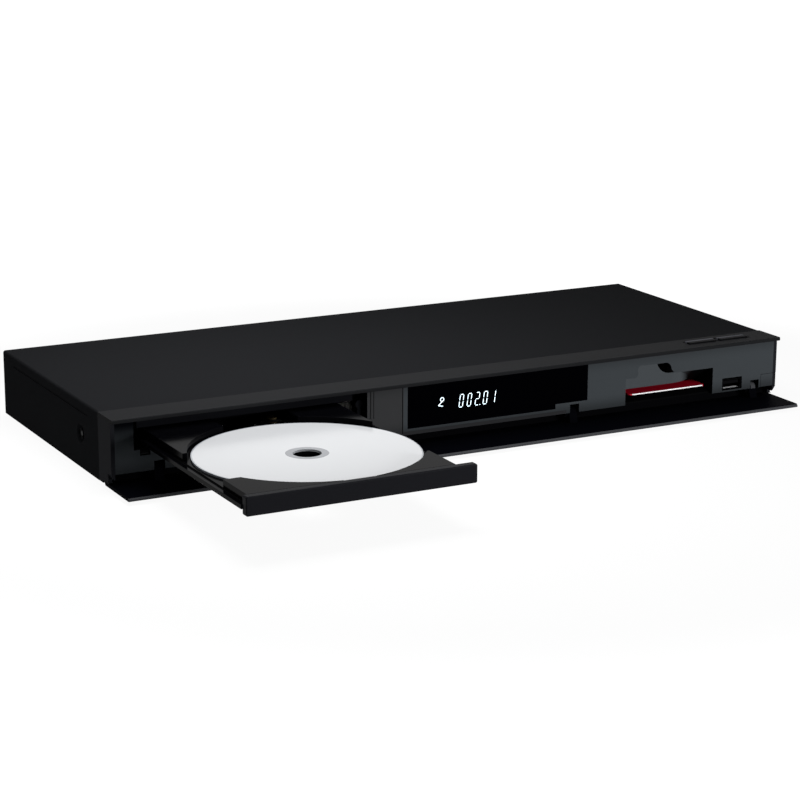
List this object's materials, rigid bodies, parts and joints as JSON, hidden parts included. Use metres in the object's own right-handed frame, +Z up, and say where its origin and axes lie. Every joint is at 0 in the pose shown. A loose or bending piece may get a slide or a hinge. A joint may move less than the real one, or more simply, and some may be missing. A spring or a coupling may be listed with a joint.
{
  "type": "disc recorder",
  "caption": "Low, wide disc and hard-disk recorder with its front flap folded down and a loaded disc tray run out.",
  "frame": {"origin": "middle of the whole footprint, tray out and rear terminals included, at the underside of the feet", "axes": "+X to the right seen from the front, +Y to the back, +Z up"},
  "size_m": [0.43, 0.3204, 0.0416],
  "materials": {
    "cover_black": "fine satin paint",
    "steel": "zinc-plated sheet",
    "fascia_dark": "fine satin grain",
    "flap_dark": "semi-gloss",
    "window_black": "polished",
    "display_glass": "polished",
    "board_green": "solder mask",
    "part_black": "moulded",
    "key_silver": "metallic paint",
    "card_red": "printed",
    "reader_grey": "moulded",
    "port_metal": "nickel plate",
    "rubber": "matt",
    "alloy": "cast and milled",
    "chassis_black": "moulded",
    "tray_grey": "fine grain",
    "tray_front": "satin",
    "disc_white": "printable white",
    "gear_white": "self-lubricating",
    "lens_glass": "coated",
    "ribbon_white": "film",
    "brass": "plated",
    "inlet_black": "moulded"
  },
  "bodies": {
    "cabinet": {"top_cover": "cover_black", "bottom_pan": "steel", "rear_panel": "steel", "front_fascia": "fascia_dark", "display_window": "window_black", "display_module": "display_glass", "front_board": "board_green", "switch_board": "board_green", "click_switches": "part_black", "flap_latch": "part_black", "corner_cover": "fascia_dark", "card_reader": "reader_grey", "usb_socket": "port_metal", "usb_board": "board_green", "feet": "rubber", "main_board": "board_green", "power_board": "board_green", "board_parts": "part_black", "heat_sink": "alloy", "tuner_box": "steel", "antenna_terminals": "port_metal", "hdmi_socket": "port_metal", "lan_socket": "port_metal", "optical_socket": "part_black", "power_parts": "part_black", "ac_inlet": "inlet_black", "hard_drive": "alloy", "drive_bracket": "steel", "fan_frame": "part_black", "loader_frame": "chassis_black", "clamp_bridge": "steel", "loading_motor": "steel", "drive_belt": "rubber", "ribbon_cable": "ribbon_white"},
    "flap_hinge": {"flap_pins": "steel"},
    "flap": {"front_flap": "flap_dark"},
    "tray": {"disc_tray": "tray_grey", "tray_fascia": "tray_front"},
    "loaded_disc": {"disc": "disc_white"},
    "traverse": {"traverse_frame": "chassis_black", "spindle_motor": "steel", "guide_rods": "steel", "sled_motor": "steel"},
    "spindle": {"turntable": "part_black"},
    "sled": {"pickup_sled": "alloy", "objective_lens": "lens_glass"},
    "screw": {"lead_screw": "steel"},
    "fan": {"fan_rotor": "part_black"},
    "clamp": {"clamper": "gear_white"},
    "belt_drive": {"belt_wheel": "gear_white"},
    "tray_drive": {"tray_gear": "gear_white"},
    "motor_shaft": {"motor_pulley": "brass"},
    "card": {"access_card": "card_red"},
    "power_key": {"power_button": "key_silver"},
    "eject_key": {"eject_button": "key_silver"}
  },
  "joints": [
    {"name": "flap_lower_half", "type": "hinge", "parent": "cabinet", "child": "flap_hinge", "pos_m": [0, -0.0189, 0.01005], "axis": [1, 0, 0], "range_deg": [-45, 0]},
    {"name": "flap_upper_half", "type": "hinge", "parent": "flap_hinge", "child": "flap", "pos_m": [0, -0.0189, 0.01005], "axis": [1, 0, 0], "range_deg": [-45, 0]},
    {"name": "tray_slide", "type": "slide", "parent": "cabinet", "child": "tray", "axis": [0, -1, 0], "range_m": [-0.1371, 0]},
    {"name": "disc_lift", "type": "slide", "parent": "tray", "child": "loaded_disc", "axis": [0, 0, 1], "range_m": [0, 0.04]},
    {"name": "card_slide", "type": "slide", "parent": "cabinet", "child": "card", "axis": [0, -1, 0], "range_m": [0, 0.06]},
    {"name": "power_press", "type": "slide", "parent": "cabinet", "child": "power_key", "axis": [0, 0, -1], "range_m": [0, 0.0005], "stiffness_N_per_m": 800, "springref_m": -0.0003},
    {"name": "eject_press", "type": "slide", "parent": "cabinet", "child": "eject_key", "axis": [0, 0, -1], "range_m": [0, 0.0005], "stiffness_N_per_m": 800, "springref_m": -0.0003},
    {"name": "traverse_lift", "type": "hinge", "parent": "cabinet", "child": "traverse", "pos_m": [0, 0.12525, 0.012], "axis": [1, 0, 0], "range_deg": [-3.65, 0]},
    {"name": "disc_spin", "type": "hinge", "parent": "traverse", "child": "spindle", "pos_m": [-0.134, 0.04286, 0.01075], "axis": [0, -0.0637, 0.998], "continuous": true},
    {"name": "sled_slide", "type": "slide", "parent": "traverse", "child": "sled", "axis": [0, -0.998, -0.0637], "range_m": [-0.0242, 0.0123]},
    {"name": "screw_spin", "type": "hinge", "parent": "traverse", "child": "screw", "pos_m": [-0.103, 0.0769, 0.01593], "axis": [0, 0.998, 0.0637], "continuous": true},
    {"name": "fan_spin", "type": "hinge", "parent": "cabinet", "child": "fan", "pos_m": [-0.034, 0.14525, 0.0205], "axis": [0, 1, 0], "continuous": true},
    {"name": "clamper_spin", "type": "hinge", "parent": "cabinet", "child": "clamp", "pos_m": [-0.134, 0.04295, 0.0345], "axis": [0, 0, 1], "continuous": true},
    {"name": "tray_gear_spin", "type": "hinge", "parent": "cabinet", "child": "tray_drive", "pos_m": [-0.069, -0.00075, 0.025], "axis": [0, 0, 1], "continuous": true},
    {"name": "belt_wheel_spin", "type": "hinge", "parent": "cabinet", "child": "belt_drive", "pos_m": [-0.069, 0.01125, 0.022], "axis": [0, 0, 1], "continuous": true},
    {"name": "motor_spin", "type": "hinge", "parent": "cabinet", "child": "motor_shaft", "pos_m": [-0.106, 0.01125, 0.0192], "axis": [0, 0, 1], "continuous": true}
  ],
  "couplings": [
    {"joint": "tray_gear_spin", "follows": "tray_slide", "rad_per_m": 156.25},
    {"joint": "belt_wheel_spin", "follows": "tray_slide", "rad_per_m": -290.18},
    {"joint": "motor_spin", "follows": "tray_slide", "rad_per_m": -820.5},
    {"joint": "screw_spin", "follows": "sled_slide", "rad_per_m": -2094.4}
  ]
}
